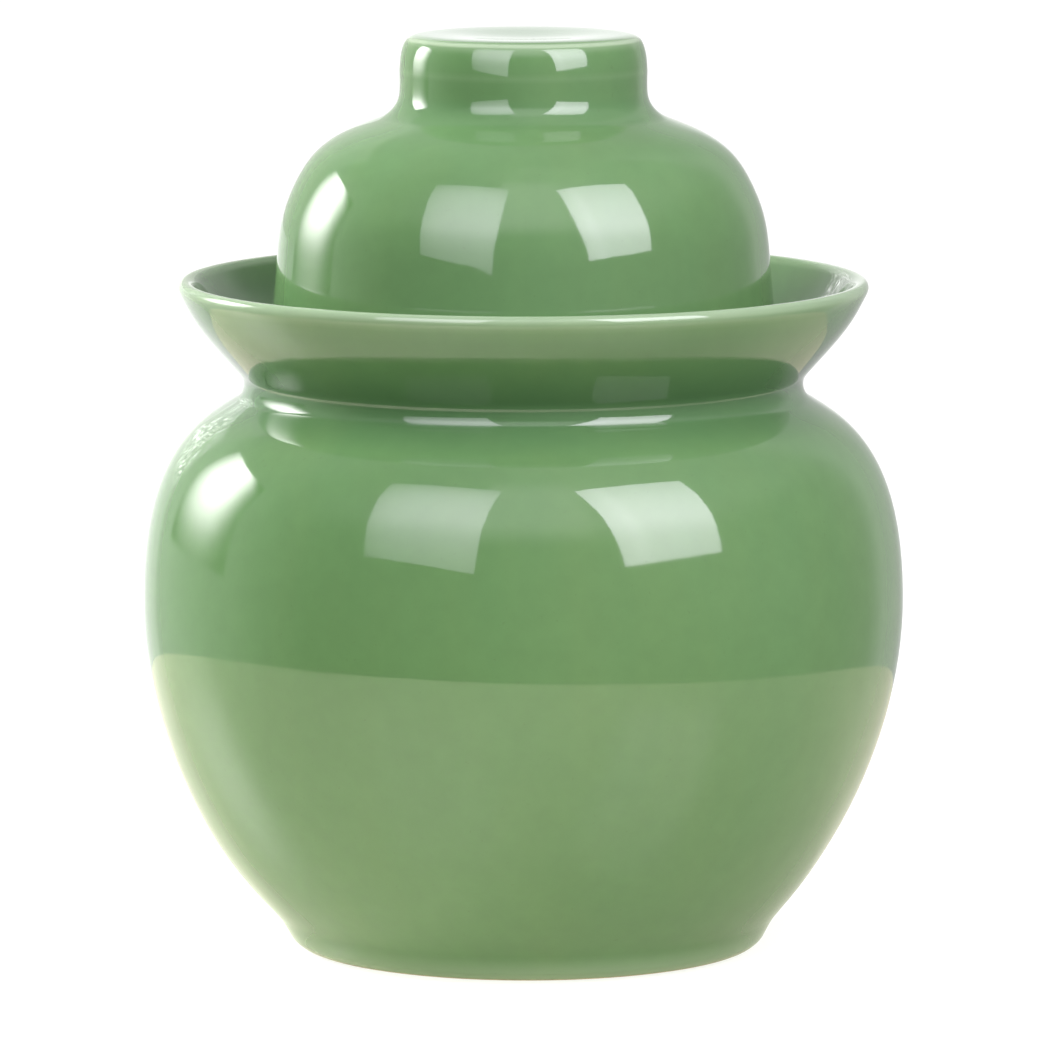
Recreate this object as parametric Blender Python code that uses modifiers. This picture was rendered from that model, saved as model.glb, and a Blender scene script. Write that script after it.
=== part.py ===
"""Water-sealed ceramic fermentation crock (pickle jar), in metres, +Z up.

The origin is the centre of the foot ring, on the surface that the jar stands
on. The crock and its two lids are turned: each is a profile of (radius, z)
points swept round the Z axis with a Screw modifier. The two half-moon weights
lie on the crock floor, split along the YZ plane.
"""

import math

import bmesh
import bpy

SEGMENTS = 48  # facets round the crock and the outer lid
INNER_LID_SEGMENTS = 40
RESTING_GAP = 0.0004  # clearance under each piece that rests on the crock
MERGE_DISTANCE = 5e-5  # profile points closer than this are one point


# ------------------------------------------------------------- profile drawing
def sweep(start, end, headings, pulls, steps):
    """Points of a cubic Bezier curve from start to end.

    headings are the directions of travel at the two ends, in degrees from
    outwards (+radius) towards up. pulls are the lengths of the two handles.
    """
    leave, arrive = (math.radians(heading) for heading in headings)
    handle_out = (
        start[0] + pulls[0] * math.cos(leave),
        start[1] + pulls[0] * math.sin(leave),
    )
    handle_in = (
        end[0] - pulls[1] * math.cos(arrive),
        end[1] - pulls[1] * math.sin(arrive),
    )
    controls = (start, handle_out, handle_in, end)
    points = []
    for i in range(steps + 1):
        t = i / steps
        weights = ((1 - t) ** 3, 3 * (1 - t) ** 2 * t, 3 * (1 - t) * t * t, t**3)
        points.append(
            tuple(
                sum(weight * control[axis] for weight, control in zip(weights, controls))
                for axis in (0, 1)
            )
        )
    return points


def arc(centre, radius, start_deg, end_deg, steps):
    points = []
    for i in range(steps + 1):
        angle = math.radians(start_deg + (end_deg - start_deg) * i / steps)
        points.append(
            (centre[0] + radius * math.cos(angle), centre[1] + radius * math.sin(angle))
        )
    return points


def inset(points, distance):
    """The curve moved to its left, which is inwards on an outline that runs up."""
    moved = []
    for i, point in enumerate(points):
        before, after = points[max(i - 1, 0)], points[min(i + 1, len(points) - 1)]
        dx, dz = after[0] - before[0], after[1] - before[1]
        length = math.hypot(dx, dz)
        moved.append((point[0] - distance * dz / length, point[1] + distance * dx / length))
    return moved


def joined(*runs):
    """The runs end to end, without the points that repeat the one before."""
    points = []
    for run in runs:
        for point in run:
            if not points or math.dist(points[-1], point) > MERGE_DISTANCE:
                points.append(point)
    return points


# ----------------------------------------------------------------------- crock
# outside, from the foot up: radii, heights and (radius, z) places
FOOT_RING_IN = 0.0520
FOOT_RING_OUT = 0.0594
FOOT_SIDE = (0.0628, 0.0028)
FOOT_TOP = (0.0669, 0.0094)
BELLY = (0.1000, 0.0906)  # widest place
SHOULDER_END = (0.0752, 0.1445)
WAIST = (0.0732, 0.1488)
FLARE_START = (0.0754, 0.1526)
FLARE_END = (0.0900, 0.1728)
UNDERSIDE_Z = 0.0025
FOOT_RING_TAPER = 0.0012  # slant of the foot ring's inner face

# inside
BELLY_WALL = 0.0055
FLOOR_R = 0.0480
FLOOR_Z = 0.0100
FLOOR_CURVE_HEIGHT = 0.0060  # the belly wall proper begins above this
BORE_START_Z = 0.1530

# inner neck, with a half-round top
MOUTH_BORE_R = 0.0460
NECK_R = 0.0506
MOUTH_Z = 0.1820
MOUTH_EDGE = 0.5 * (NECK_R - MOUTH_BORE_R)

# water moat round the neck, and the lip of its outer wall
MOAT_WALL = 0.0044
MOAT_FLOOR_Z = 0.1535
MOAT_FLOOR_IN = 0.0545
MOAT_FLOOR_OUT = 0.0690
NECK_FOOT = (NECK_R, MOAT_FLOOR_Z + 0.0040)
LIP_R = 0.0905
LIP_Z = 0.1765
LIP_EDGE = 0.0017


def belly_outline(below, above):
    """Up from the foot to the shoulder, with step counts below and above the widest place."""
    return joined(
        sweep(FOOT_TOP, BELLY, headings=(45, 90), pulls=(0.0284, 0.0267), steps=below),
        sweep(BELLY, SHOULDER_END, headings=(90, 157), pulls=(0.0211, 0.0235), steps=above),
    )


def flare_outline():
    """Up the outside of the moat wall."""
    return sweep(
        FLARE_START, FLARE_END, headings=(48.5, 72), pulls=(0.0075, 0.0078), steps=4
    )


def crock_inside():
    """From the centre of the floor out, up the wall and in to the bore."""
    wall = [
        point
        for point in inset(belly_outline(7, 5), BELLY_WALL)
        if point[1] > FLOOR_Z + FLOOR_CURVE_HEIGHT
    ]
    bore_start = (MOUTH_BORE_R, BORE_START_Z)
    return joined(
        [(0.0, FLOOR_Z)],
        sweep((FLOOR_R, FLOOR_Z), wall[0], headings=(0, 47), pulls=(0.0075, 0.0045), steps=3),
        wall,
        sweep(wall[-1], bore_start, headings=(157, 90), pulls=(0.0120, 0.0050), steps=4),
    )


def crock_mouth():
    """Up the bore, over the neck, across the moat and over the lip."""
    moat_side = inset(flare_outline(), MOAT_WALL)[1:]
    floor_in = (MOAT_FLOOR_IN, MOAT_FLOOR_Z)
    floor_out = (MOAT_FLOOR_OUT, MOAT_FLOOR_Z)
    neck_centre = (0.5 * (MOUTH_BORE_R + NECK_R), MOUTH_Z - MOUTH_EDGE)
    return joined(
        arc(neck_centre, MOUTH_EDGE, 180, 0, steps=3),
        sweep(NECK_FOOT, floor_in, headings=(270, 0), pulls=(0.0022, 0.0022), steps=2),
        sweep(floor_out, moat_side[0], headings=(0, 52), pulls=(0.0020, 0.0022), steps=2),
        moat_side,
        arc((LIP_R - LIP_EDGE, LIP_Z - LIP_EDGE), LIP_EDGE, 165, 0, steps=4),
    )


def crock_outside():
    """Down from the moat wall to the foot ring, and in to the axis."""
    waist = joined(
        sweep(SHOULDER_END, WAIST, headings=(144, 92), pulls=(0.0030, 0.0012), steps=2),
        sweep(WAIST, FLARE_START, headings=(88, 48), pulls=(0.0012, 0.0020), steps=2),
    )
    foot = joined(
        sweep(
            (FOOT_RING_OUT, 0.0), FOOT_SIDE, headings=(10, 72), pulls=(0.0016, 0.0012), steps=3
        ),
        sweep(FOOT_SIDE, FOOT_TOP, headings=(70, 45), pulls=(0.0020, 0.0024), steps=2),
    )
    return joined(
        reversed(flare_outline()),
        reversed(waist),
        reversed(belly_outline(9, 7)),
        reversed(foot),
        [
            (FOOT_RING_IN, 0.0),
            (FOOT_RING_IN - FOOT_RING_TAPER, UNDERSIDE_Z),
            (0.0, UNDERSIDE_Z),
        ],
    )


def crock_profile():
    return joined(crock_inside(), crock_mouth(), crock_outside())


# ------------------------------------------------------------------- outer lid
# a domed bowl that stands in the moat, with its foot ring as the knob
LID_WALL = 0.0042
LID_BOTTOM_Z = MOAT_FLOOR_Z + RESTING_GAP
SKIRT_START = (0.0666, LID_BOTTOM_Z + 0.0020)
SKIRT_TOP = (0.0646, 0.1820)
SKIRT_EDGE = 0.5 * LID_WALL
DOME_SIDE = (0.0578, 0.2054)
DOME_TOP = (0.0381, 0.2181)
KNOB_R = 0.0325
KNOB_FILLET_Z = 0.2238  # where the fillet from the dome meets the knob's side
KNOB_TOP_Z = 0.2400
KNOB_CREST_R = 0.0299
KNOB_EDGE = KNOB_R - KNOB_CREST_R
KNOB_DISH_Z = 0.2388  # centre of the shallow dish in the knob's top
KNOB_CAVITY_R = KNOB_R - LID_WALL
KNOB_CAVITY_Z = 0.2336
KNOB_CAVITY_CHAMFER = 0.0030


def lid_outline():
    """Up the outside, from the skirt to the root of the knob."""
    return joined(
        sweep(SKIRT_START, SKIRT_TOP, headings=(92, 93.3), pulls=(0.0090, 0.0090), steps=2),
        sweep(SKIRT_TOP, DOME_SIDE, headings=(93.3, 116.4), pulls=(0.0119, 0.0119), steps=4),
        sweep(DOME_SIDE, DOME_TOP, headings=(116.4, 164), pulls=(0.0069, 0.0079), steps=5),
    )


def outer_lid_profile():
    """From the top of the knob down the outside, then up the inside."""
    outline = lid_outline()
    inside = inset(outline, LID_WALL)[:-1]
    dish_centre, crest = (0.0, KNOB_DISH_Z), (KNOB_CREST_R, KNOB_TOP_Z)
    fillet_top = (KNOB_R, KNOB_FILLET_Z)
    cavity_start = (KNOB_CAVITY_R, KNOB_FILLET_Z + 0.0015)
    skirt_middle_r = 0.5 * (SKIRT_START[0] + inside[0][0])
    fillet = sweep(DOME_TOP, fillet_top, headings=(163, 90), pulls=(0.0028, 0.0026), steps=4)
    return joined(
        sweep(dish_centre, crest, headings=(0, 0), pulls=(0.0110, 0.0100), steps=6),
        arc((KNOB_CREST_R, KNOB_TOP_Z - KNOB_EDGE), KNOB_EDGE, 90, 0, steps=4),
        reversed(fillet),
        reversed(outline),
        arc((skirt_middle_r, LID_BOTTOM_Z + SKIRT_EDGE), SKIRT_EDGE, 0, -180, steps=3),
        inside,
        sweep(inside[-1], cavity_start, headings=(160, 90), pulls=(0.0040, 0.0035), steps=2),
        [
            (KNOB_CAVITY_R, KNOB_CAVITY_Z - KNOB_CAVITY_CHAMFER),
            (KNOB_CAVITY_R - KNOB_CAVITY_CHAMFER, KNOB_CAVITY_Z),
            (0.0, KNOB_CAVITY_Z),
        ],
    )


# ------------------------------------------------------------------- inner lid
# a saucer on the mouth, with a plug below and a small knob above
SAUCER_BASE_Z = MOUTH_Z + RESTING_GAP
SAUCER_THICK = 0.0040
SAUCER_TOP_Z = SAUCER_BASE_Z + SAUCER_THICK
SAUCER_R = 0.0515
SAUCER_EDGE = 0.5 * SAUCER_THICK
RIM_FLAT_R = SAUCER_R - 0.0045  # inner edge of the rim's flat top
DISH_Z = SAUCER_BASE_Z + 0.0018
DISH_R = 0.0340
PLUG_R = 0.0440
PLUG_BOTTOM_Z = SAUCER_BASE_Z - 0.0060
PLUG_CHAMFER = 0.0015
PLUG_FLAT_R = PLUG_R - 0.0045  # inner edge of the plug's flat bottom
RECESS_START = (PLUG_R - 0.0055, PLUG_BOTTOM_Z + 0.0008)
RECESS_END = (PLUG_R - 0.0105, SAUCER_BASE_Z - 0.0024)
SMALL_KNOB_R = 0.0110
SMALL_KNOB_TOP_Z = SAUCER_BASE_Z + 0.0180
SMALL_KNOB_EDGE = 0.0035
SMALL_KNOB_FLARE = 0.0040  # how far the knob's foot spreads into the dish


def inner_lid_profile():
    """From the top of the knob out to the rim, then in under the plug."""
    knob_edge_z = SMALL_KNOB_TOP_Z - SMALL_KNOB_EDGE
    knob_side = (SMALL_KNOB_R, knob_edge_z)
    knob_foot = (SMALL_KNOB_R + SMALL_KNOB_FLARE, DISH_Z)
    dish_edge, rim_flat = (DISH_R, DISH_Z), (RIM_FLAT_R, SAUCER_TOP_Z)
    rim_centre = (SAUCER_R - SAUCER_EDGE, SAUCER_BASE_Z + SAUCER_EDGE)
    return joined(
        [(0.0, SMALL_KNOB_TOP_Z)],
        arc((SMALL_KNOB_R - SMALL_KNOB_EDGE, knob_edge_z), SMALL_KNOB_EDGE, 90, 0, steps=3),
        sweep(knob_side, knob_foot, headings=(270, 0), pulls=(0.0040, 0.0060), steps=4),
        sweep(dish_edge, rim_flat, headings=(0, 0), pulls=(0.0060, 0.0040), steps=3),
        arc(rim_centre, SAUCER_EDGE, 90, -90, steps=4),
        [
            (PLUG_R, SAUCER_BASE_Z),
            (PLUG_R, PLUG_BOTTOM_Z + PLUG_CHAMFER),
            (PLUG_R - PLUG_CHAMFER, PLUG_BOTTOM_Z),
            (PLUG_FLAT_R, PLUG_BOTTOM_Z),
        ],
        sweep(RECESS_START, RECESS_END, headings=(115, 180), pulls=(0.0020, 0.0030), steps=3),
        [(0.0, RECESS_END[1])],
    )


def turned(name, profile, segments, collection, finish):
    """A closed turned solid. The profile starts and ends on the axis."""
    mesh = bpy.data.meshes.new(name)
    points = [(radius, 0.0, z) for radius, z in profile]
    mesh.from_pydata(points, [(i, i + 1) for i in range(len(points) - 1)], [])
    mesh.materials.append(finish)
    obj = bpy.data.objects.new(name, mesh)
    collection.objects.link(obj)
    screw = obj.modifiers.new("Turning", "SCREW")
    screw.axis = "Z"
    screw.angle = math.tau
    screw.steps = segments
    screw.render_steps = segments
    screw.use_merge_vertices = True
    screw.merge_threshold = 0.00001
    screw.use_smooth_shade = True


# --------------------------------------------------------------------- weights
# two half-moons with a round grip hole shared between them
WEIGHT_R = 0.0435
WEIGHT_HALF_GAP = 0.0010  # from the YZ plane to each straight edge
WEIGHT_THICK = 0.0160
GRIP_R = 0.0095
WEIGHT_Z = FLOOR_Z + RESTING_GAP
WEIGHT_EDGE = 0.0020


def half_moon_outline():
    """The (x, y) corners of the +X half, anticlockwise from above."""
    rim_trim = math.degrees(math.asin(WEIGHT_HALF_GAP / WEIGHT_R))
    grip_trim = math.degrees(math.asin(WEIGHT_HALF_GAP / GRIP_R))
    rim = arc((0.0, 0.0), WEIGHT_R, -90 + rim_trim, 90 - rim_trim, steps=20)
    grip = arc((0.0, 0.0), GRIP_R, 90 - grip_trim, -90 + grip_trim, steps=10)
    return rim + grip


def half_moon(name, side, collection, finish):
    """Half of a round weight. side is -1 for the -X half and +1 for the +X half."""
    plate = bmesh.new()
    corners = [plate.verts.new((side * x, y, WEIGHT_Z)) for x, y in half_moon_outline()]
    if side < 0:
        corners.reverse()  # mirroring turned the winding round
    face = plate.faces.new(corners)
    raised = bmesh.ops.extrude_face_region(plate, geom=[face])
    top = [item for item in raised["geom"] if isinstance(item, bmesh.types.BMVert)]
    bmesh.ops.translate(plate, verts=top, vec=(0.0, 0.0, WEIGHT_THICK))
    bmesh.ops.recalc_face_normals(plate, faces=plate.faces)
    mesh = bpy.data.meshes.new(name)
    plate.to_mesh(mesh)
    plate.free()
    mesh.materials.append(finish)
    mesh.shade_smooth()
    mesh.set_sharp_from_angle(angle=math.radians(35))
    obj = bpy.data.objects.new(name, mesh)
    collection.objects.link(obj)
    bevel = obj.modifiers.new("Rounded edges", "BEVEL")
    bevel.width = WEIGHT_EDGE
    bevel.segments = 2
    bevel.limit_method = "ANGLE"
    bevel.angle_limit = math.radians(60)


# ------------------------------------------------------------------- materials
GREEN = (0.145, 0.300, 0.120, 1.0)
PALE_GREEN = (0.210, 0.360, 0.180, 1.0)
BISQUE = (0.560, 0.450, 0.330, 1.0)


def ceramic(name, colour, roughness, coat):
    made = bpy.data.materials.new(name)
    made.use_nodes = True
    shader = made.node_tree.nodes["Principled BSDF"]
    shader.inputs["Base Color"].default_value = colour
    shader.inputs["Roughness"].default_value = roughness
    shader.inputs["Metallic"].default_value = 0.0
    shader.inputs["Coat Weight"].default_value = coat
    made.diffuse_color = colour
    return made


def main():
    for obj in list(bpy.data.objects):
        bpy.data.objects.remove(obj, do_unlink=True)
    parts = bpy.data.collections.new("ceramic_crock_fermenter")
    bpy.context.scene.collection.children.link(parts)

    glaze = ceramic("celadon_glaze", GREEN, roughness=0.08, coat=1.0)
    lid_glaze = ceramic("celadon_glaze_lid", GREEN, roughness=0.08, coat=1.0)
    inner_glaze = ceramic("celadon_glaze_inner_lid", PALE_GREEN, roughness=0.12, coat=0.8)

    turned("crock_body", crock_profile(), SEGMENTS, parts, glaze)
    turned("outer_lid", outer_lid_profile(), SEGMENTS, parts, lid_glaze)
    turned("inner_lid", inner_lid_profile(), INNER_LID_SEGMENTS, parts, inner_glaze)
    for half, side in (("left", -1), ("right", 1)):
        bisque = ceramic(f"stoneware_{half}", BISQUE, roughness=0.75, coat=0.0)
        half_moon(f"weight_half_{half}", side, parts, bisque)


main()
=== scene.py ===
"""Looks of a water-sealed ceramic fermentation crock, in metres.

The crock stands upright on z = 0 about the z axis: a glazed pot with a water moat round its mouth,
an inner lid on the mouth, an outer lid standing in the moat, and two half-round stone weights.
The camera looks along +y, so the front is -y and the left is -x.
"""

import math

import bmesh
import bpy
import numpy as np
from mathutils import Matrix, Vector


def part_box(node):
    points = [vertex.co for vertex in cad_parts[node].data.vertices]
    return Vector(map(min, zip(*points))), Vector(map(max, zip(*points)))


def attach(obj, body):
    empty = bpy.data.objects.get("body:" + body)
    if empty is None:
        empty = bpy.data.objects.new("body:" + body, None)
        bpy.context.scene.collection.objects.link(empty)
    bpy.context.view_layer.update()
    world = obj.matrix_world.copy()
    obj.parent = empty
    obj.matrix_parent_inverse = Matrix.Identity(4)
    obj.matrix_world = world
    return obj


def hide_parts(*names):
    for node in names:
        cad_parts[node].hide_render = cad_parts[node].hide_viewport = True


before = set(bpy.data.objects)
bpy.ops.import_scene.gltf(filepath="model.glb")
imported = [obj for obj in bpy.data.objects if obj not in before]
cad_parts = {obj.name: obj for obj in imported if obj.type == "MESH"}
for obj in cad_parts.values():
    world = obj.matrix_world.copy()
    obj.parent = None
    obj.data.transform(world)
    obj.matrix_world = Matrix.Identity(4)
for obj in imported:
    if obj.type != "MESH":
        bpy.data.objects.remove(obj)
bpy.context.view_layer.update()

scene = bpy.context.scene
scene.view_settings.view_transform = "Standard"
scene.view_settings.look = "None"
scene.view_settings.exposure = 0.0
scene.view_settings.gamma = 1.0

RING = 224  # facets round the crock and the outer lid
SMALL_RING = 160  # facets round the inner lid

MOUTH_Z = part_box("crock_body")[1].z  # the mouth's rim is the highest point of the crock
MOUTH_BORE = 0.0460
MOUTH_ROUND = 0.0023  # radius of the mouth's rounded rim
MOAT_FLOOR = 0.1535
BELLY_FOOT, BELLY_TOP = (0.0669, 0.0094), (0.0752, 0.1445)
FLARE_FOOT = (0.0754, 0.1526)
BELLY_WALL, FLARE_WALL = 0.0055, 0.0044

LID_RADIUS, LID_WALL = 0.0666, 0.0042
LID_LOW = MOAT_FLOOR + 0.0004
LID_SHOULDER = (0.0381, 0.2181)  # where the lid's dome meets the knob
KNOB_RADIUS = 0.0324


# ----------------------------------------------------------- profile drawing
def sweep(start, leave, end, arrive, steps):
    """A Bezier curve. leave and arrive are each a heading in degrees and a handle length."""
    (leave_deg, leave_pull), (arrive_deg, arrive_pull) = leave, arrive
    out, into = math.radians(leave_deg), math.radians(arrive_deg)
    start, end = np.array(start, float), np.array(end, float)
    handle_out = start + leave_pull * np.array([math.cos(out), math.sin(out)])
    handle_in = end - arrive_pull * np.array([math.cos(into), math.sin(into)])
    t = np.linspace(0, 1, steps + 1)[:, None]
    return (
        (1 - t) ** 3 * start
        + 3 * (1 - t) ** 2 * t * handle_out
        + 3 * (1 - t) * t * t * handle_in
        + t**3 * end
    )


def chain(start, legs, steps):
    """Sweeps joined end to end. Each leg is (leave, end, arrive)."""
    runs = []
    for leave, end, arrive in legs:
        run = sweep(start, leave, end, arrive, steps)
        runs.append(run[1:] if runs else run)
        start = end
    return np.vstack(runs)


def arc(centre, radius, start_deg, end_deg, steps):
    angles = np.radians(np.linspace(start_deg, end_deg, steps + 1))
    return np.array(centre) + radius * np.c_[np.cos(angles), np.sin(angles)]


def inset(points, distance):
    """The curve moved to the left of its heading."""
    heading = np.gradient(points, axis=0)
    heading /= np.linalg.norm(heading, axis=1)[:, None]
    return points + distance * np.c_[-heading[:, 1], heading[:, 0]]


class Outline:
    """A turned outline made of runs of (radius, z) points.

    soft says how far a run may be faired, and bare marks unglazed clay.
    A curve or line starts at the last point unless it is given a start.
    """

    SAME_POINT = 2e-6
    STEP = 0.0002  # even spacing used while fairing
    SOFT_ROUNDS, FAIR_ROUNDS = 12, 500
    BEND_REACH, BEND_SIGMA = 12, 4.0  # smoothing of the bend, in steps
    FINEST, COARSEST = 0.0005, 0.0042  # limits on the final spacing
    TURN = math.radians(3.4)  # turn allowed between final points
    SPACING_ROUNDS, SPACING_GROWTH = 40, 2e-6
    ON_AXIS = 4e-5

    def __init__(self):
        self.points, self.soft, self.bare = [], [], []

    def add(self, points, soft, bare=0.0):
        for point in np.asarray(points, float):
            if self.points and np.hypot(*(point - self.points[-1])) < self.SAME_POINT:
                continue
            self.points.append(point)
            self.soft.append(soft)
            self.bare.append(bare)

    def curve(self, leave, end, arrive, steps, soft, bare=0.0, start=None):
        start = self.points[-1] if start is None else start
        self.add(sweep(start, leave, end, arrive, steps), soft, bare)

    def line(self, end, soft, bare=0.0, steps=8, start=None):
        start = self.points[-1] if start is None else start
        t = np.linspace(0, 1, steps + 1)[:, None]
        self.add(np.array(start, float) * (1 - t) + np.array(end, float) * t, soft, bare)

    def fair(self):
        """Even steps, then fairing, so that reflections run smoothly over the joins of the runs."""
        points = np.array(self.points)
        length = np.r_[0, np.cumsum(np.hypot(*np.diff(points, axis=0).T))]
        along = np.linspace(0, length[-1], int(length[-1] / self.STEP) + 1)
        even = np.c_[
            np.interp(along, length, points[:, 0]), np.interp(along, length, points[:, 1])
        ]
        soft = np.interp(along, length, self.soft)
        bare = np.interp(along, length, self.bare)
        for _ in range(self.SOFT_ROUNDS):
            soft[1:-1] = np.minimum(soft[1:-1], 0.5 * (soft[:-2] + soft[2:]) + 0.01)
        for _ in range(self.FAIR_ROUNDS):
            even[1:-1] += 0.5 * soft[1:-1, None] * (even[:-2] + even[2:] - 2 * even[1:-1])
        return along, even, bare

    def sampled(self):
        """Points close together where the outline bends, with each one's bend and bare mask."""
        along, even, bare = self.fair()
        step = np.gradient(even, axis=0)
        bend = np.gradient(np.unwrap(np.arctan2(step[:, 1], step[:, 0])), along)
        reach = self.BEND_REACH
        kernel = np.exp(-0.5 * (np.arange(-reach, reach + 1) / self.BEND_SIGMA) ** 2)
        kernel /= kernel.sum()
        padded = np.r_[[bend[0]] * reach, bend, [bend[-1]] * reach]
        bend = np.convolve(padded, kernel, "valid")
        spacing = self.TURN / np.maximum(np.abs(bend), 1e-6)
        spacing = np.clip(spacing, self.FINEST, self.COARSEST)
        for _ in range(self.SPACING_ROUNDS):
            spacing[1:-1] = np.minimum(
                spacing[1:-1], 0.5 * (spacing[:-2] + spacing[2:]) + self.SPACING_GROWTH
            )
        density = np.r_[0, np.cumsum(np.diff(along) / spacing[:-1])]
        counts = np.linspace(0, density[-1], int(density[-1]) + 2)
        want = np.interp(counts, density, along)
        radius, z = np.interp(want, along, even[:, 0]), np.interp(want, along, even[:, 1])
        radius[np.abs(radius) < self.ON_AXIS] = 0.0
        return np.c_[radius, z], np.interp(want, along, bend), np.interp(want, along, bare)


# ------------------------------------------------------------------- meshes
def progress(value, start, end):
    """How far value has gone from start to end, held within 0 and 1."""
    return np.clip((value - start) / (end - start), 0, 1)


def smoothstep(t):
    return t * t * (3 - 2 * t)


def radius_and_z(verts):
    return np.hypot(verts[:, 0], verts[:, 1]), verts[:, 2]


def store(mesh, **layers):
    """Keep one float per vertex under each name."""
    for label, values in layers.items():
        layer = mesh.attributes.new(label, "FLOAT", "POINT")
        layer.data.foreach_set("value", np.array(values, np.float32))


def smooth(mesh, sharp_deg):
    mesh.shade_smooth()
    mesh.set_sharp_from_angle(angle=math.radians(sharp_deg))


def place(name, mesh):
    obj = bpy.data.objects.new(name, mesh)
    scene.collection.objects.link(obj)
    return obj


def lathe(name, outline, ring, shape=None, worn_and_lit=None, pooled=None):
    """A closed turned mesh. The outline starts and ends on the axis, running down the outer side.

    shape moves the vertices; the other two give extra pale glaze (thin glaze and painted highlight)
    and extra deep glaze (pooled glaze and painted shade) at each one.
    """
    points, bend, bare = outline.sampled()
    points[0, 0] = points[-1, 0] = 0.0
    angles = np.arange(ring) * (2 * math.pi / ring)
    verts, masks, rows = [], [], []
    for (radius, z), *mask in zip(points, bend, bare):
        first = len(verts)
        if radius == 0.0:
            rows.append([first] * ring)
            verts.append((0.0, 0.0, z))
            masks.append(mask)
            continue
        rows.append(list(range(first, first + ring)))
        verts += [(radius * math.cos(a), radius * math.sin(a), z) for a in angles]
        masks += [mask] * ring
    verts = np.array(verts)
    if shape is not None:
        verts = shape(verts)

    faces = []
    for upper, lower in zip(rows[:-1], rows[1:]):
        for i in range(ring):
            j = (i + 1) % ring
            loop = [upper[i], lower[i], lower[j], upper[j]]
            kept = [v for k, v in enumerate(loop) if v != loop[k - 1]]
            if len(kept) > 2:
                faces.append(kept)
    mesh = bpy.data.meshes.new(name)
    mesh.from_pydata([tuple(v) for v in verts], [], faces)
    mesh.validate()

    # convex edges shed glaze and concave corners pool it, and both are also painted light: a pale
    # highlight on the edges and shade in the corners;
    # the outline runs clockwise, so a convex edge bends negative
    bend, bare = np.array(masks).T
    thin = progress(-bend, 90, 590)
    if worn_and_lit is not None:
        thin = np.maximum(thin, worn_and_lit(verts))
    pool = progress(bend, 60, 360)
    if pooled is not None:
        pool = np.maximum(pool, pooled(verts))
    store(mesh, thin=thin, pool=pool, bare=bare)
    smooth(mesh, sharp_deg=50)
    return place(name, mesh)


# ----------------------------------------------------------------- outlines
def crock_outline():
    """From the middle of the inside bottom, over mouth, moat and lip, down to the foot."""
    belly = chain(
        BELLY_FOOT,
        [
            ((45, 0.0284), (0.1000, 0.0906), (90, 0.0267)),
            ((90, 0.0211), BELLY_TOP, (157, 0.0235)),
        ],
        steps=160,
    )
    inner = inset(belly, BELLY_WALL)
    inner = inner[inner[:, 1] > 0.0160]
    flare = sweep(FLARE_FOOT, (48.5, 0.0078), (0.0899, 0.1729), (74, 0.0078), 60)
    inner_flare = inset(flare, FLARE_WALL)
    rim_z = MOUTH_Z - MOUTH_ROUND
    rim_middle = MOUTH_BORE + MOUTH_ROUND
    neck = rim_middle + MOUTH_ROUND

    o = Outline()
    # inside of the pot
    o.line((0.0480, 0.0100), 0.6, steps=12, start=(0, 0.0100))
    o.curve((0, 0.0075), inner[0], (47, 0.0045), 12, 0.8)
    o.add(inner, 1.0)
    o.curve((157, 0.0120), (MOUTH_BORE, 0.1530), (90, 0.0050), 24, 0.5)
    # mouth
    o.line((MOUTH_BORE, rim_z), 0.3)
    o.add(arc((rim_middle, rim_z), MOUTH_ROUND, 180, 0, 20), 0.04)
    # moat
    o.line((neck, MOAT_FLOOR + 0.0040), 0.2)
    o.curve((270, 0.0022), (0.0545, MOAT_FLOOR), (0, 0.0022), 8, 0.1)
    o.line((0.0690, MOAT_FLOOR), 0.2)
    o.curve((0, 0.0020), inner_flare[0], (50, 0.0022), 8, 0.2)
    o.add(inner_flare, 0.4)
    # lip: a slim bead, a little proud of the flare, highest near its outer edge
    o.curve((74, 0.0010), (0.0887, 0.17618), (0, 0.0010), 12, 0.05)
    o.curve((0, 0.0012), (0.0906, 0.1738), (270, 0.0013), 14, 0.03)
    o.curve((270, 0.0008), flare[-5], (253, 0.0008), 8, 0.06)
    # flare, waist and belly
    o.add(flare[:-5][::-1], 0.35)
    o.curve((228, 0.0018), (0.0733, 0.1491), (270, 0.0014), 10, 0.08)
    o.curve((272, 0.0020), (0.0755, 0.1446), (334, 0.0020), 12, 0.08)
    o.add(belly[::-1], 1.0)
    o.curve((225, 0.0024), (0.0628, 0.0028), (250, 0.0020), 14, 0.15)
    # glaze stops in a thin rolled edge just above the bare foot ring
    o.curve((252, 0.0009), (0.0606, 0.00062), (214, 0.0009), 10, 0.05)
    o.add([(0.06045, 0.00050), (0.06030, 0.00044)], 0.02)
    o.curve(
        (212, 0.0003), (0.0592, 0.0), (190, 0.0004), 8, 0.02, bare=1.0, start=(0.06026, 0.00042)
    )
    o.line((0.0520, 0.0), 0.02, bare=1.0)
    o.add([(0.0517, 0.0003), (0.0511, 0.0016), (0.0508, 0.0023), (0.0503, 0.0025)], 0.05, 1.0)
    o.line((0, 0.0025), 0.2, bare=1.0, start=(0.0498, 0.0025))
    return o


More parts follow.
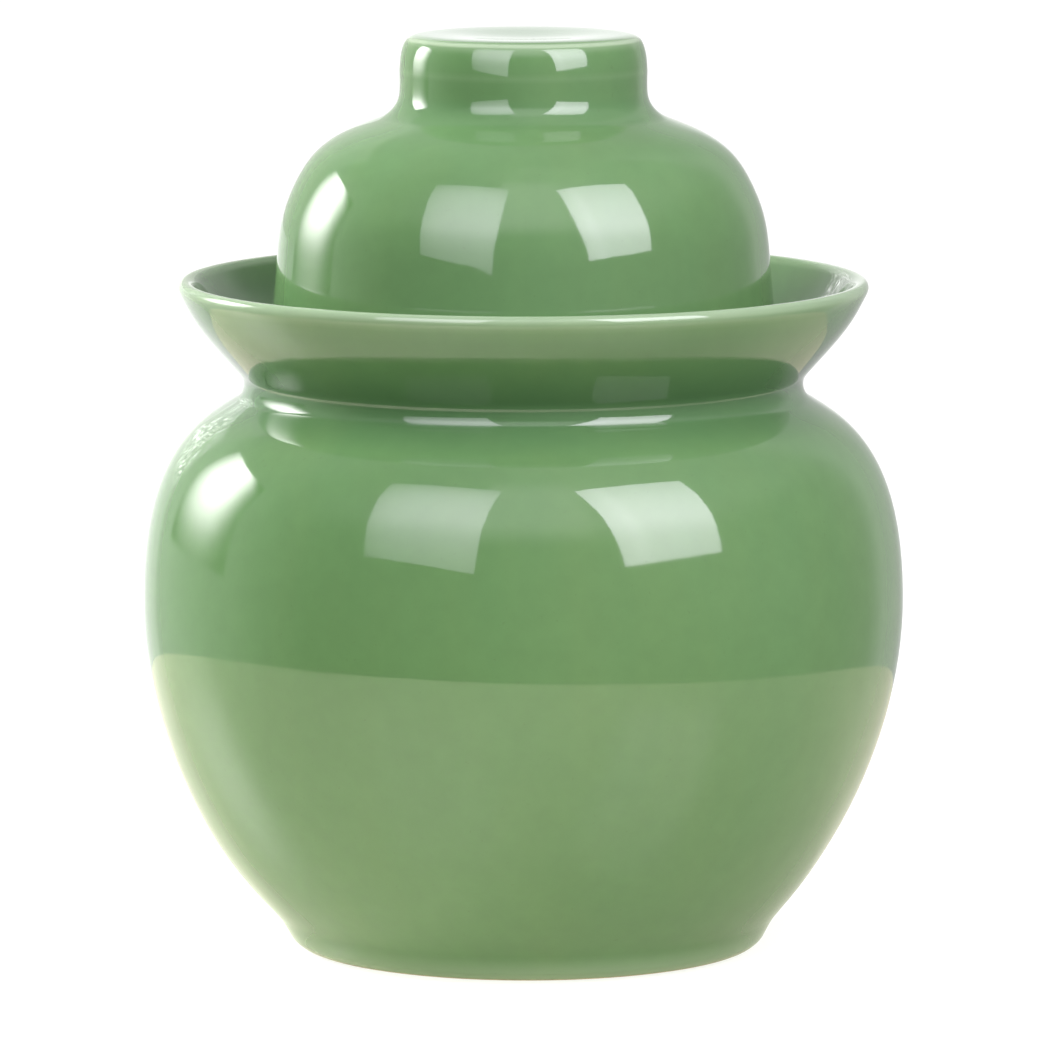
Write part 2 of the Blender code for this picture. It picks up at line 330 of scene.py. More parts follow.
def lid_outline():
    """From the middle of the knob's top, down the outside, round the lower edge and up inside."""
    side = chain(
        (LID_RADIUS, LID_LOW + 0.0020),
        [
            ((92, 0.0090), (0.0646, 0.1820), (93.3, 0.0090)),
            ((93.3, 0.0119), (0.0578, 0.2054), (116.4, 0.0119)),
            ((116.4, 0.0069), LID_SHOULDER, (164, 0.0079)),
        ],
        steps=60,
    )
    inner = inset(side, LID_WALL)
    middle = 0.5 * (LID_RADIUS + inner[0][0])
    knob, knob_inner = KNOB_RADIUS, KNOB_RADIUS - LID_WALL

    o = Outline()
    # the knob's top is a shallow dish inside a soft rolled crest
    o.curve((0, 0.0100), (0.0260, 0.24030), (0, 0.0090), 40, 0.3, start=(0, 0.23915))
    o.curve((0, 0.0024), (0.0307, 0.2391), (298.7, 0.0007), 14, 0.05)
    o.curve((298.7, 0.0019), (0.03228, 0.2336), (274.7, 0.0019), 18, 0.05)
    o.curve((274.7, 0.0008), (knob, 0.2312), (270, 0.0008), 6, 0.05)
    # a throwing ridge left round the knob
    ridge = [(0.00012, 0.23080), (0.00016, 0.23040), (0.00004, 0.22985), (-0.00006, 0.2290)]
    o.add([(knob + proud, z) for proud, z in ridge], 0.03)
    o.line((knob, 0.2254), 0.1, steps=6, start=(knob, 0.2278))
    o.curve((270, 0.0028), LID_SHOULDER, (343, 0.0030), 14, 0.10, start=(knob, 0.2248))
    o.add(side[::-1], 0.9)
    # lower edge, with a bare strip under it
    o.curve((272, 0.0010), (middle + 0.0006, LID_LOW), (180, 0.0008), 8, 0.03)
    o.line(
        (middle - 0.0005, LID_LOW), 0.03, bare=1.0, steps=3, start=(middle + 0.0005, LID_LOW)
    )
    o.curve((180, 0.0008), inner[0], (90, 0.0010), 8, 0.03, start=(middle - 0.0006, LID_LOW))
    # inside
    o.add(inner[:-8], 0.9)
    o.curve((163, 0.0040), (knob_inner, 0.2260), (90, 0.0035), 12, 0.3, start=inner[-8])
    o.line((knob_inner, 0.2306), 0.2)
    o.curve((90, 0.0016), (knob_inner - 0.0030, 0.2336), (180, 0.0016), 8, 0.1)
    o.line((0, 0.2336), 0.3)
    return o


def inner_lid_outline():
    """From the middle of the knob's top, out over the plate and back underneath."""
    base = MOUTH_Z + 0.0004
    plate, dish, underside = base + 0.0040, base + 0.0018, base - 0.0024
    knob, radius, edge_round = 0.0110, 0.0515, 0.0020
    spigot, spigot_low = 0.0440, base - 0.0060  # the ring that drops into the mouth

    o = Outline()
    o.line((knob - 0.0050, base + 0.0179), 0.3, start=(0, base + 0.0180))
    o.curve((0, 0.0026), (knob, base + 0.0140), (270, 0.0022), 12, 0.1)
    o.curve((270, 0.0030), (knob - 0.0018, base + 0.0075), (268, 0.0030), 10, 0.2)
    o.curve((268, 0.0030), (knob + 0.0045, dish), (0, 0.0040), 12, 0.2)
    o.line((0.0340, dish), 0.4)
    o.curve((0, 0.0060), (radius - 0.0045, plate), (0, 0.0040), 10, 0.3)
    o.add(arc((radius - edge_round, base + edge_round), edge_round, 90, -70, 12), 0.04)
    # the seat on the mouth is bare
    o.add([(0.0496, base + 0.0001)], 0.02, 0.6)
    o.line((0.0446, base), 0.02, bare=1.0, steps=4, start=(0.0490, base))
    o.add([(0.0442, base - 0.0003)], 0.02, 0.6)
    o.line((spigot, base - 0.0044), 0.05, steps=4, start=(spigot, base - 0.0010))
    o.curve((270, 0.0010), (spigot - 0.0016, spigot_low), (180, 0.0010), 6, 0.04)
    o.line((spigot - 0.0040, spigot_low), 0.04, steps=3)
    o.curve((180, 0.0020), (0.0335, underside), (180, 0.0026), 10, 0.1)
    o.line((0, underside), 0.4)
    return o


# ------------------------------------------------------------- shader nodes
class Graph:
    """The shader nodes of a material or world. Inputs take a socket or a plain value."""

    def __init__(self, owner, empty=False):
        owner.use_nodes = True
        self.tree = owner.node_tree
        if empty:
            self.tree.nodes.clear()

    def fill(self, node, inputs):
        for key, value in inputs.items():
            if isinstance(value, bpy.types.NodeSocket):
                self.tree.links.new(value, node.inputs[key])
            else:
                node.inputs[key].default_value = value

    def node(self, kind, inputs=None, **settings):
        """A new node's outputs."""
        node = self.tree.nodes.new(kind)
        for key, value in settings.items():
            setattr(node, key, value)
        self.fill(node, inputs or {})
        return node.outputs

    def maths(self, operation, *values, clamp=False):
        inputs = dict(enumerate(values))
        return self.node("ShaderNodeMath", inputs, operation=operation, use_clamp=clamp)[0]

    def times(self, a, b, clamp=False):
        return self.maths("MULTIPLY", a, b, clamp=clamp)

    def plus(self, a, b, clamp=False):
        return self.maths("ADD", a, b, clamp=clamp)

    def minus(self, a, b):
        return self.maths("SUBTRACT", a, b)

    def blend(self, factor, a, b, mode="MIX"):
        inputs = {0: factor, 6: a, 7: b}
        return self.node("ShaderNodeMix", inputs, data_type="RGBA", blend_type=mode)[2]

    def tint(self, colour, by):
        return self.blend(1.0, colour, by, "MULTIPLY")

    def ramp(self, value, stops):
        """stops are (position, grey level or colour)."""
        node = self.tree.nodes.new("ShaderNodeValToRGB")
        elements = node.color_ramp.elements
        while len(elements) < len(stops):
            elements.new(0.5)
        for element, (position, colour) in zip(elements, stops):
            element.position = position
            is_colour = isinstance(colour, tuple)
            element.color = colour if is_colour else (colour, colour, colour, 1)
        self.fill(node, {0: value})
        return node.outputs[0]

    def turn(self, x, y):
        """Azimuth from 0 to 1: the front is 0.5 and the right 0.75."""
        angle = self.maths("ARCTAN2", x, self.times(y, -1.0))
        return self.plus(self.maths("DIVIDE", angle, 2 * math.pi), 0.5)

    def band(self, turn, stops):
        """stops are (azimuth in degrees from the front, positive to the right, level)."""
        return self.ramp(turn, [((azimuth + 180) / 360, level) for azimuth, level in stops])

    def noise(self, vector, scale, detail=3.0, roughness=0.5, distortion=0.0, stretch=None):
        if stretch is not None:
            vector = self.node("ShaderNodeMapping", {0: vector, "Scale": stretch})[0]
        inputs = {
            "Vector": vector,
            "Scale": scale,
            "Detail": detail,
            "Roughness": roughness,
            "Distortion": distortion,
        }
        return self.node("ShaderNodeTexNoise", inputs)["Fac"]

    def coordinates(self, kind):
        return self.node("ShaderNodeTexCoord")[kind]

    def split(self, vector):
        return self.node("ShaderNodeSeparateXYZ", {0: vector})

    def attribute(self, name):
        return self.node("ShaderNodeAttribute", attribute_name=name)["Fac"]

    def bump(self, height, strength, distance, over=None):
        inputs = {"Strength": strength, "Distance": distance, "Height": height}
        if over is not None:
            inputs["Normal"] = over
        return self.node("ShaderNodeBump", inputs)[0]


def surface(name):
    material = bpy.data.materials.new(name)
    graph = Graph(material)
    return material, graph, graph.tree.nodes["Principled BSDF"]


# ---------------------------------------------------------------- materials
GLAZE = (0.078, 0.156, 0.060, 1)
GLAZE_DEEP = (0.071, 0.146, 0.054, 1)
GLAZE_OLIVE = (0.085, 0.156, 0.057, 1)
GLAZE_SPECK = (0.055, 0.085, 0.035, 1)
# pale thin glaze, also used as painted highlight on edges, lip and knob and as painted bounce light
# at the foot
GLAZE_THIN_AND_LIT = (0.370, 0.440, 0.320, 1)
# deep pooled glaze, also used as painted shade in creases, the waist and the knob's dish
GLAZE_POOL_AND_SHADE = (0.030, 0.084, 0.035, 1)
CLAY = (0.520, 0.400, 0.270, 1)
CLAY_DARK = (0.360, 0.245, 0.150, 1)
STONE = (0.60, 0.47, 0.33, 1)
STONE_DARK = (0.47, 0.34, 0.22, 1)
STONE_SPECK = (0.16, 0.10, 0.06, 1)


def glaze_material(name):
    """Thick glossy apple-green glaze over pale clay.

    It is lighter where it runs thin and where highlights are painted, deeper where it pools and
    where shade is painted, and bare where it was wiped.
    """
    material, graph, shader = surface(name)
    coord = graph.coordinates("Object")
    thin, pool, bare = (graph.attribute(label) for label in ("thin", "pool", "bare"))

    cloud = graph.noise(coord, scale=14.0, roughness=0.55, distortion=0.4)
    streak = graph.noise(
        coord, scale=9.0, roughness=0.6, distortion=0.2, stretch=(3.2, 3.2, 0.55)
    )
    mottle = graph.noise(coord, scale=160.0, roughness=0.6)
    speck = graph.noise(coord, scale=900.0, detail=2.0)
    colour = graph.blend(graph.ramp(cloud, [(0.32, 0.0), (0.68, 1.0)]), GLAZE, GLAZE_DEEP)
    olive = graph.times(graph.ramp(streak, [(0.45, 0.0), (0.75, 1.0)]), 0.55)
    colour = graph.blend(olive, colour, GLAZE_OLIVE)
    colour = graph.tint(colour, graph.ramp(mottle, [(0.30, 0.97), (0.70, 1.03)]))
    dots = graph.ramp(speck, [(0.70, 0.0), (0.76, 1.0)])
    colour = graph.blend(graph.times(dots, 0.22), colour, GLAZE_SPECK)
    uneven = graph.plus(graph.times(cloud, 0.5), 0.6)
    # pale thin glaze, partly painted highlight and painted bounce light
    thin_edge = graph.times(thin, uneven, clamp=True)
    colour = graph.blend(graph.times(thin_edge, 0.50), colour, GLAZE_THIN_AND_LIT)
    # deep pooled glaze, partly painted shade
    colour = graph.blend(graph.times(pool, 0.75), colour, GLAZE_POOL_AND_SHADE)

    # bare clay, with a ragged border
    grain = graph.noise(coord, scale=1400.0, detail=4.0, roughness=0.7)
    stain = graph.noise(coord, scale=60.0, detail=4.0, roughness=0.6)
    clay = graph.blend(graph.ramp(stain, [(0.35, 0.0), (0.72, 1.0)]), CLAY, CLAY_DARK)
    clay = graph.tint(clay, graph.ramp(grain, [(0.25, 0.80), (0.75, 1.12)]))
    ragged = graph.plus(bare, graph.times(graph.minus(stain, 0.5), 0.25))
    is_bare = graph.ramp(ragged, [(0.42, 0.0), (0.58, 1.0)])

    # roughness of the glaze, then of the clay
    smudge = graph.noise(coord, scale=22.0, detail=4.0, roughness=0.65, distortion=0.6)
    smudge = graph.ramp(smudge, [(0.35, 0.035), (0.72, 0.085)])
    gloss = graph.plus(smudge, graph.times(dots, 0.10))
    gloss = graph.times(graph.minus(1.0, is_bare), gloss)
    roughness = graph.plus(gloss, graph.times(is_bare, 0.82), clamp=True)

    swell = graph.noise(coord, scale=38.0, detail=1.5, roughness=0.4)
    peel = graph.noise(coord, scale=230.0, detail=1.0, roughness=0.4)
    normal = graph.bump(swell, strength=0.12, distance=0.0009)
    normal = graph.bump(peel, strength=0.10, distance=0.00012, over=normal)
    pits = graph.times(grain, is_bare)
    normal = graph.bump(pits, strength=0.6, distance=0.0004, over=normal)
    inputs = {
        "Base Color": graph.blend(is_bare, colour, clay),
        "Roughness": roughness,
        "IOR": 1.50,
        "Normal": normal,
    }
    graph.fill(shader, inputs)
    return material


def stoneware_material(name):
    """Unglazed, speckled stoneware."""
    material, graph, shader = surface(name)
    coord = graph.coordinates("Object")
    cloud = graph.noise(coord, scale=30.0, detail=4.0, roughness=0.6, distortion=0.3)
    grain = graph.noise(coord, scale=700.0, detail=4.0, roughness=0.7)
    speck = graph.noise(coord, scale=420.0, detail=2.0)
    lumps = graph.noise(coord, scale=90.0, roughness=0.6)
    colour = graph.blend(graph.ramp(cloud, [(0.3, 0.0), (0.7, 1.0)]), STONE, STONE_DARK)
    colour = graph.tint(colour, graph.ramp(grain, [(0.25, 0.82), (0.75, 1.12)]))
    dots = graph.ramp(speck, [(0.66, 0.0), (0.72, 1.0)])
    normal = graph.bump(grain, strength=0.5, distance=0.0005)
    inputs = {
        "Base Color": graph.blend(graph.times(dots, 0.6), colour, STONE_SPECK),
        "Roughness": graph.ramp(cloud, [(0.3, 0.62), (0.7, 0.86)]),
        "Normal": graph.bump(lumps, strength=0.35, distance=0.0010, over=normal),
    }
    graph.fill(shader, inputs)
    return material


# ------------------------------------------------------ hand work, glaze, and painted light and shade
def thrown_by_hand(verts):
    """The foot sits a millimetre right of the belly's axis, and the lip is higher at the back."""
    verts[:, 0] += 0.00104 * smoothstep(progress(verts[:, 2], 0.030, 0.0))
    radius, z = radius_and_z(verts)
    lift = np.where(radius > 0.0745, progress(z, 0.1650, 0.1750), 0.0)
    verts[:, 2] += 0.00042 * (verts[:, 1] / 0.0900) * smoothstep(lift)
    return verts


def crock_wear_and_light(verts):
    """The lip is pale where the glaze drew back and with a painted highlight, and the glaze turns
    pale towards the foot ring as painted bounce light from the table.
    """
    radius, z = radius_and_z(verts)
    lip = np.where(radius > 0.0888, 0.78 * progress(z, 0.1709, 0.1740) ** 1.8, 0.0)
    foot = np.where(radius > 0.0595, 0.75 * progress(z, 0.0068, 0.0008), 0.0)
    return np.maximum(lip, foot)


def waist_pool(verts):
    """Glaze ran down the flare and lies thickest in the waist; the darkening down the flare and in
    the waist is also painted shade.
    """
    radius, z = radius_and_z(verts)
    waist = 0.74 * np.clip(1 - np.abs(z - 0.1530) / 0.0130, 0, 1) ** 0.6
    flare = np.where(z > 0.153, 0.30 * progress(z, 0.1722, 0.1682), 0.0)
    return np.where((radius > 0.0725) & (radius < 0.0894), np.maximum(waist, flare), 0.0)


def dish_pool(verts):
    """Glaze lies thick in the dish on top of the knob, and the dish is also darkened as painted
    shade in the recess.
    """
    radius, z = radius_and_z(verts)
    return np.where(z > 0.2382, 0.75 * progress(radius, 0.0290, 0.0260), 0.0)


def knob_wear_and_highlight(verts):
    """The glaze broke pale over the knob's crest and, faintly, over the throwing ridge; both pale
    bands are also painted highlights.
    """
    radius, z = radius_and_z(verts)
    ridge = np.where(radius > 0.031, 0.13 * np.exp(-(((z - 0.2306) / 0.0007) ** 2)), 0.0)
    crest = np.where(radius > 0.0285, 1.6 * np.exp(-(((z - 0.23922) / 0.00045) ** 2)), 0.0)
    return np.maximum(ridge, crest)


# ------------------------------------------------------------------ weights
WEIGHT_RADIUS = 0.0435
HALF_GAP = 0.0010  # from the y axis to each half's flat side
GRIP = 0.0095  # radius of the half hole that a finger hooks into
CORNER = 0.0026  # rounding seen from above
EDGE = 0.0022  # rounding of the top and bottom edges


def half_moon_plan():
    """The right half seen from above: its points and the outward direction at each."""
    corner_x = HALF_GAP + CORNER
    tip = math.sqrt((WEIGHT_RADIUS - CORNER) ** 2 - corner_x**2)
    hook = math.sqrt((GRIP + CORNER) ** 2 - corner_x**2)
    at_tip, at_hook = (math.degrees(math.atan2(y, corner_x)) for y in (tip, hook))
    points, outward = [], []

    def bow(centre, radius, start, end, steps, facing=1):
        for angle in np.radians(np.linspace(start, end, steps + 1)):
            way = np.array([math.cos(angle), math.sin(angle)])
            points.append(np.array(centre) + radius * way)
            outward.append(facing * way)

    def flat(start, end, steps):
        for y in np.linspace(start, end, steps + 1)[1:-1]:
            points.append(np.array([HALF_GAP, y]))
            outward.append(np.array([-1.0, 0.0]))

    bow((0, 0), WEIGHT_RADIUS, -at_tip, at_tip, 96)
    bow((corner_x, tip), CORNER, at_tip, 180, 10)
    flat(tip, hook, 24)
    bow((corner_x, hook), CORNER, 180, 180 + at_hook, 8)
    bow((0, 0), GRIP, at_hook, -at_hook, 32, facing=-1)
    bow((corner_x, -hook), CORNER, 180 - at_hook, 180, 8)
    flat(-hook, -tip, 24)
    bow((corner_x, -tip), CORNER, 180, 360 - at_tip, 10)
    kept = [i for i in range(len(points)) if np.hypot(*(points[i] - points[i - 1])) > 1e-6]
    return np.array(points)[kept], np.array(outward)[kept]


def half_moon(name, node, side):
    """One of the two pressing weights, with rolled edges; side is -1 for left and 1 for right."""
    low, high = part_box(node)
    points, outward = half_moon_plan()
    roll = [
        (EDGE * (1 - math.sin(t)), EDGE * (1 - math.cos(t)))
        for t in np.radians(np.linspace(0, 90, 6))
    ]
    levels = [(inward, low.z + rise) for inward, rise in roll]
    levels += [(inward, high.z - rise) for inward, rise in reversed(roll)]
    bm = bmesh.new()
    rows = [
        [bm.verts.new((side * x, y, z)) for x, y in points - inward * outward]
        for inward, z in levels
    ]
    count = len(points)
    for lower, upper in zip(rows[:-1], rows[1:]):
        for i in range(count):
            j = (i + 1) % count
            bm.faces.new([lower[i], lower[j], upper[j], upper[i]])
    bm.faces.new(rows[0][::-1])
    bm.faces.new(rows[-1])
    bmesh.ops.recalc_face_normals(bm, faces=bm.faces)
    mesh = bpy.data.meshes.new(name)
    bm.to_mesh(mesh)
    bm.free()
    smooth(mesh, sharp_deg=40)
    return place(name, mesh)


# ------------------------------------------------------------------- pieces
def fit(piece, material, body, replaced):
    piece.data.materials.append(material)
    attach(piece, body)
    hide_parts(replaced)


glaze = glaze_material("celadon_glaze")
lid_glaze = glaze_material("celadon_glaze_lid")
inner_glaze = glaze_material("celadon_glaze_inner")
stoneware = stoneware_material("bare_stoneware")

crock = lathe(
    "glazed_crock",
    crock_outline(),
    RING,
    shape=thrown_by_hand,
    worn_and_lit=crock_wear_and_light,
    pooled=waist_pool,
)
fit(crock, glaze, "crock", "crock_body")

lid = lathe("glazed_outer_lid", lid_outline(), RING, worn_and_lit=knob_wear_and_highlight, pooled=dish_pool)
fit(lid, lid_glaze, "outer_lid", "outer_lid")

inner_lid = lathe("glazed_inner_lid", inner_lid_outline(), SMALL_RING)
fit(inner_lid, inner_glaze, "inner_lid", "inner_lid")

for hand, side in (("left", -1), ("right", 1)):
    node = f"weight_half_{hand}"
    weight = half_moon(f"stone_weight_{hand}", node, side)
    fit(weight, stoneware, f"weight_{hand}", node)


# -------------------------------------------------------------------- stage
FLOOR_HALF, FLOOR_Z = 9, -0.0006
TABLE_X, TABLE_Y, TABLE_Z, TABLE_RADIUS = -0.030, 0.030, -0.0003, 0.395
TABLE_FACETS = 96


def staged(name, verts, faces, material):
    mesh = bpy.data.meshes.new(name)
    mesh.from_pydata([tuple(v) for v in verts], [], faces)
    mesh.materials.append(material)
    obj = place(name, mesh)
    return obj


def unseen(obj):
    obj.visible_camera = False
    obj.visible_shadow = False
    return obj


def floor_material():
    """Pale studio floor, evened out so that only the soft contact shadow draws on it."""
    material, graph, shader = surface("pale_floor")
    cloud = graph.noise(graph.coordinates("Object"), scale=3.0, roughness=0.6)
    tones = [(0.3, (0.315, 0.315, 0.312, 1)), (0.7, (0.335, 0.335, 0.333, 1))]
    inputs = {
        "Base Color": graph.ramp(cloud, tones),
        "Roughness": 0.9,
        "Specular IOR Level": 0.1,
        "Emission Color": (1, 1, 0.995, 1),
        "Emission Strength": 0.66,
    }
    graph.fill(shader, inputs)
    return material


def table_material():
    """Cream table top with a low sheen.

    It glows a little. Close to the crock the glow is dimmer and greener as a painted contact shadow
    and green bounce, and the top is darker towards the back right as a painted shadow of the crock.
    """
    material, graph, shader = surface("pale_table")
    coord = graph.coordinates("Object")
    cloud = graph.noise(coord, scale=9.0, roughness=0.6)
    tone = graph.ramp(cloud, [(0.3, (0.64, 0.60, 0.48, 1)), (0.7, (0.67, 0.63, 0.50, 1))])
    x, y, _ = graph.split(coord)
    away = graph.maths("SQRT", graph.plus(graph.times(x, x), graph.times(y, y)))
    # painted contact shadow and green bounce: the glow is dimmer and greener close to the crock
    glow_and_contact_shadow = graph.ramp(away, [(0.12, (0.78, 0.86, 0.62, 1)), (0.30, (1.02, 0.93, 0.73, 1))])
    # painted shadow of the crock: the top and its glow are darker towards the back, most of all at
    # the back right
    shadow_around = graph.band(
        graph.turn(x, y),
        [
            (-180, 0.66), (-140, 0.66), (-110, 0.82), (-80, 0.82), (-40, 1.0), (0, 0.94),
            (30, 0.84), (60, 0.76), (100, 0.73), (140, 0.56), (160, 0.54), (180, 0.66),
        ],
    )
    # the under side of the belly also catches light thrown up from lower down the studio
    matt = graph.minus(1.0, graph.node("ShaderNodeLightPath")["Is Glossy Ray"])
    inputs = {
        "Base Color": graph.tint(tone, shadow_around),
        "Roughness": 0.24,
        "Emission Color": glow_and_contact_shadow,
        "Emission Strength": graph.plus(graph.times(shadow_around, 0.45), graph.times(matt, 0.30)),
    }
    graph.fill(shader, inputs)
    return material


floor = staged(
    "floor",
    [(x * FLOOR_HALF, y * FLOOR_HALF, FLOOR_Z) for x, y in ((-1, -1), (1, -1), (1, 1), (-1, 1))],
    [(0, 1, 2, 3)],
    floor_material(),
)
floor.visible_glossy = False
floor.visible_diffuse = False

# the glaze mirrors a round pale table top, and the studio beyond it is dim
table_edge = [
    (TABLE_X + TABLE_RADIUS * math.cos(t), TABLE_Y + TABLE_RADIUS * math.sin(t), TABLE_Z)
    for t in (2 * math.pi * i / TABLE_FACETS for i in range(TABLE_FACETS))
]
unseen(staged("table_top", table_edge, [tuple(range(TABLE_FACETS))], table_material()))


# ------------------------------------------------------------------- lights
def softbox_material(name, up, across, strength, colour, matt, rounded):
    material = bpy.data.materials.new(name)
    graph = Graph(material, empty=True)
    rows = graph.ramp(graph.attribute("v"), up)
    level = graph.times(rows, graph.ramp(graph.attribute("u"), across))
    level = graph.times(level, strength)
    if rounded:
        level = graph.times(level, graph.attribute("corner"))
    if matt != 1.0:
        glossy = graph.node("ShaderNodeLightPath")["Is Glossy Ray"]
        level = graph.times(level, graph.plus(matt, graph.times(glossy, 1.0 - matt)))
    light = graph.node("ShaderNodeEmission", {"Color": colour, "Strength": level})[0]
    graph.node("ShaderNodeOutputMaterial", {0: light})
    return material


def softbox(name, corners, up, across, strength, colour, matt=1.0, rounded=False):
    """A four-sided light, given bottom left, bottom right, top right, top left from outside.

    up and across are its brightness as (position, level), and matt is how much more it lights
    than it is mirrored. rounded fades its top right corner.
    """
    cells = 28 if rounded else 12
    low_left, low_right, high_right, high_left = np.array(corners, float)
    steps = [i / cells for i in range(cells + 1)]
    u, v = np.array([(u, v) for v in steps for u in steps]).T
    across_u, up_v = u[:, None], v[:, None]
    bottom = low_left * (1 - across_u) + low_right * across_u
    top = high_left * (1 - across_u) + high_right * across_u
    row = cells + 1
    starts = [j * row + i for j in range(cells) for i in range(cells)]
    faces = [(k, k + 1, k + row + 1, k + row) for k in starts]
    material = softbox_material(name, up, across, strength, colour, matt, rounded)
    obj = staged(name, bottom * (1 - up_v) + top * up_v, faces, material)
    reach = np.clip((u - 0.55) / 0.45, 0, None) + np.clip((v - 0.78) / 0.22, 0, None)
    store(obj.data, u=u, v=v, corner=1 - smoothstep(progress(reach, 0.95, 1.60)))
    return unseen(obj)


FRONT_LIGHT = (0.98, 0.94, 1.04, 1)

softbox(
    "front_left_softbox",
    corners=[
        (-0.600, -0.550, 0.314), (-0.158, -0.638, 0.236),
        (-0.114, -0.662, 1.177), (-0.720, -0.395, 1.275),
    ],
    up=[
        (0.0, 0.38), (0.06, 0.47), (0.12, 0.56), (0.18, 0.66), (0.247, 0.83), (0.319, 0.97),
        (0.397, 1.0), (0.486, 0.98), (0.582, 0.93), (0.69, 0.85), (0.82, 0.70), (0.94, 0.52),
        (1.0, 0.40),
    ],
    across=[(0.0, 0.62), (0.12, 0.76), (0.3, 0.90), (0.6, 1.0), (0.9, 1.06), (1.0, 1.02)],
    strength=7.35,
    colour=FRONT_LIGHT,
)
softbox(
    "front_right_softbox",
    corners=[
        (0.456, -0.797, 0.314), (0.880, -0.490, 0.352),
        (0.715, -0.245, 1.094), (0.281, -0.680, 1.223),
    ],
    up=[
        (0.0, 0.66), (0.12, 0.72), (0.18, 0.76), (0.247, 0.84), (0.319, 0.94), (0.397, 1.0),
        (0.486, 0.98), (0.582, 0.94), (0.69, 0.88), (0.82, 0.78), (0.94, 0.70), (1.0, 0.66),
    ],
    across=[(0.0, 0.98), (0.1, 1.03), (0.2, 1.12), (0.32, 1.01), (0.5, 1.0), (1.0, 0.90)],
    strength=12.2,
    colour=FRONT_LIGHT,
)
softbox(
    "side_softbox",
    corners=[
        (-0.646, 0.585, 0.113), (-0.900, 0.125, 0.113),
        (-0.900, 0.125, 0.636), (-0.646, 0.585, 0.636),
    ],
    up=[
        (0.0, 0.06), (0.045, 0.08), (0.107, 0.127), (0.18, 0.235), (0.27, 0.43), (0.36, 0.60),
        (0.45, 0.78), (0.60, 1.0), (0.95, 1.0), (1.0, 0.93),
    ],
    across=[
        (0.0, 0.09), (0.05, 0.20), (0.14, 0.42), (0.24, 0.66), (0.33, 0.81), (0.42, 0.94),
        (0.52, 1.0), (0.60, 0.97), (0.68, 0.82), (0.76, 0.55), (0.82, 0.34), (0.88, 0.18),
        (0.94, 0.08), (1.0, 0.02),
    ],
    strength=15.5,
    colour=(1.0, 0.99, 0.98, 1),
    matt=3.0,
    rounded=True,
)

# a small grey flag that keeps the side light's image out of the far wall of the moat
flag_material, flag_graph, flag_shader = surface("grey_flag")
flag_inputs = {
    "Base Color": (0.02, 0.02, 0.02, 1),
    "Emission Color": (1.0, 1.0, 0.97, 1),
    "Emission Strength": 0.80,
}
flag_graph.fill(flag_shader, flag_inputs)
flag_corners = [
    (-0.135, 0.060, 0.186), (-0.060, 0.190, 0.186),
    (-0.060, 0.190, 0.330), (-0.135, 0.060, 0.330),
]
flag = unseen(staged("flag", flag_corners, [(0, 1, 2, 3)], flag_material))
flag.visible_diffuse = False

# studio walls at three heights, as (azimuth, level)
WALLS_LOW = [
    (-180, 1.30), (-150, 1.25), (-147, 0.90), (-140, 0.98), (-124, 1.05), (-110, 0.98),
    (-99, 0.84), (-90, 0.55), (-80, 0.36), (-68, 0.12), (-50, 0.06), (-28, 0.08), (-8, 0.20),
    (0, 0.28), (22, 0.42), (60, 0.42), (110, 0.36), (128, 0.48), (140, 0.84), (158, 0.64),
    (170, 0.68), (176, 1.20), (180, 1.30),
]
WALLS_HIGH = [
    (-180, 0.50), (-140, 0.52), (-104, 0.62), (-80, 0.42), (-60, 0.60), (-19, 0.90),
    (-17, 2.10), (20, 2.10), (26, 1.60), (66, 1.00), (80, 0.84), (100, 0.70), (124, 0.58),
    (138, 0.80), (152, 0.55), (180, 0.45),
]
WALLS_TOP = [
    (-180, 0.58), (-90, 0.58), (-40, 0.75), (0, 0.98), (40, 1.00), (80, 0.92), (120, 0.70),
    (180, 0.58),
]
CRUMPLE = [(-180, 0.0), (-170, 0.0), (-165, 1.0), (-150, 1.0), (-145, 0.0), (180, 0.0)]
FILL = [
    (-180, 1.15), (-150, 1.40), (-110, 1.22), (-72, 0.40), (-45, 0.0), (135, 0.0), (180, 1.15),
]


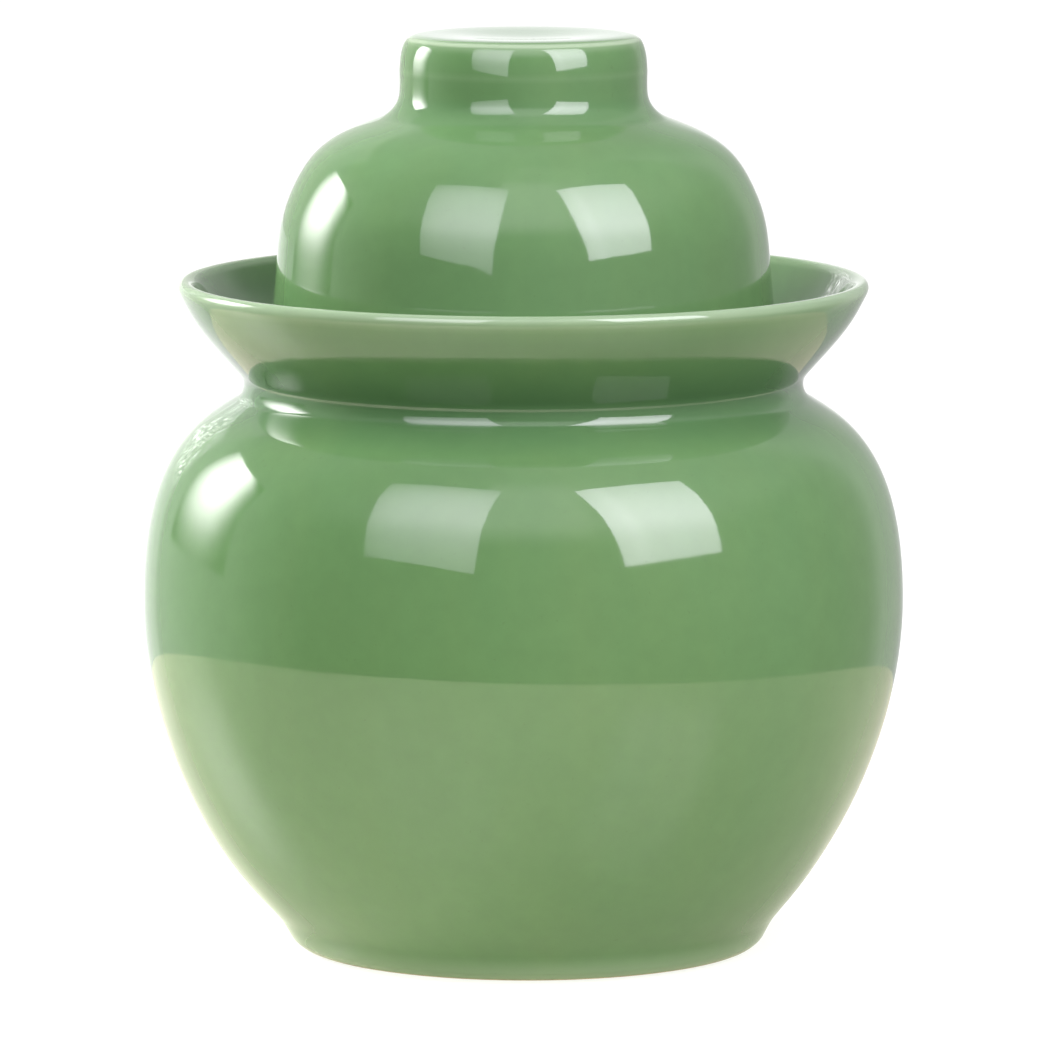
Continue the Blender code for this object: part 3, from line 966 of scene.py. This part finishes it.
def room():
    """Dim walls: a pale backdrop behind, a lit wall to the left and a duller one to the right."""
    world = bpy.data.worlds.new("studio")
    scene.world = world
    graph = Graph(world, empty=True)
    direction = graph.coordinates("Generated")
    x, y, z = graph.split(direction)
    turn = graph.turn(x, y)
    climb = graph.maths("DIVIDE", graph.maths("ARCSINE", z), math.pi / 2)

    def above(low, high):
        """Rises from 0 to 1 between two elevations in degrees."""
        inputs = {"Value": climb, "From Min": low / 90, "From Max": high / 90}
        return graph.node("ShaderNodeMapRange", inputs, interpolation_type="SMOOTHSTEP")[0]

    def mixed(factor, a, b):
        return graph.plus(a, graph.times(factor, graph.minus(b, a)))

    # crumpled bright edges of the backdrop, which the shoulder mirrors as thin glints
    crumple = graph.noise(
        direction,
        scale=9.0,
        detail=2.0,
        roughness=0.6,
        distortion=3.0,
        stretch=(1.0, 1.0, 0.45),
    )
    crumple = graph.ramp(crumple, [(0.47, 0.0), (0.50, 1.0), (0.53, 0.0)])
    patch = graph.times(above(3, 8), graph.minus(1.0, above(16, 23)))
    patch = graph.times(patch, graph.band(turn, CRUMPLE))
    crumple = graph.times(graph.times(crumple, patch), 4.0)

    level = mixed(above(22, 38), graph.band(turn, WALLS_LOW), graph.band(turn, WALLS_HIGH))
    level = mixed(above(57, 73), level, graph.band(turn, WALLS_TOP))
    level = graph.plus(level, crumple)

    # bounce from the lit wall: it softens the glaze's own colour on the left
    # without showing as a reflection
    fill = graph.times(graph.band(turn, FILL), above(-22, 6))
    fill = graph.times(fill, graph.minus(1.0, above(52, 78)))
    path = graph.node("ShaderNodeLightPath")
    level = graph.plus(level, graph.times(fill, graph.minus(1.0, path["Is Glossy Ray"])))

    tint = graph.tint((1.0, 1.0, 1.0, 1), level)
    walls = graph.node("ShaderNodeBackground", {"Color": tint})[0]
    seen = graph.node("ShaderNodeBackground", {"Color": (0.97, 0.97, 0.97, 1)})[0]
    inputs = {0: path["Is Camera Ray"], 1: walls, 2: seen}
    graph.node("ShaderNodeOutputWorld", {0: graph.node("ShaderNodeMixShader", inputs)[0]})


room()

# ------------------------------------------------------------------- camera
CAMERA_BACK, CAMERA_UP = 2.300, 0.41467
CAMERA_PITCH = 0.1310  # radians below level
LENS_MM, SENSOR_MM = 304.12414, 36.0
SHIFT_X = -0.00143678  # share of the sensor's width

camera_data = bpy.data.cameras.new("camera")
camera_data.sensor_width = SENSOR_MM
camera_data.lens = LENS_MM
camera_data.shift_x = SHIFT_X
camera_data.clip_start = 0.05
camera_data.clip_end = 60
camera = place("camera", camera_data)
camera.location = (0.0, -CAMERA_BACK, CAMERA_UP)
camera.rotation_euler = (math.pi / 2 - CAMERA_PITCH, 0.0, 0.0)
scene.camera = camera

bpy.context.view_layer.update()
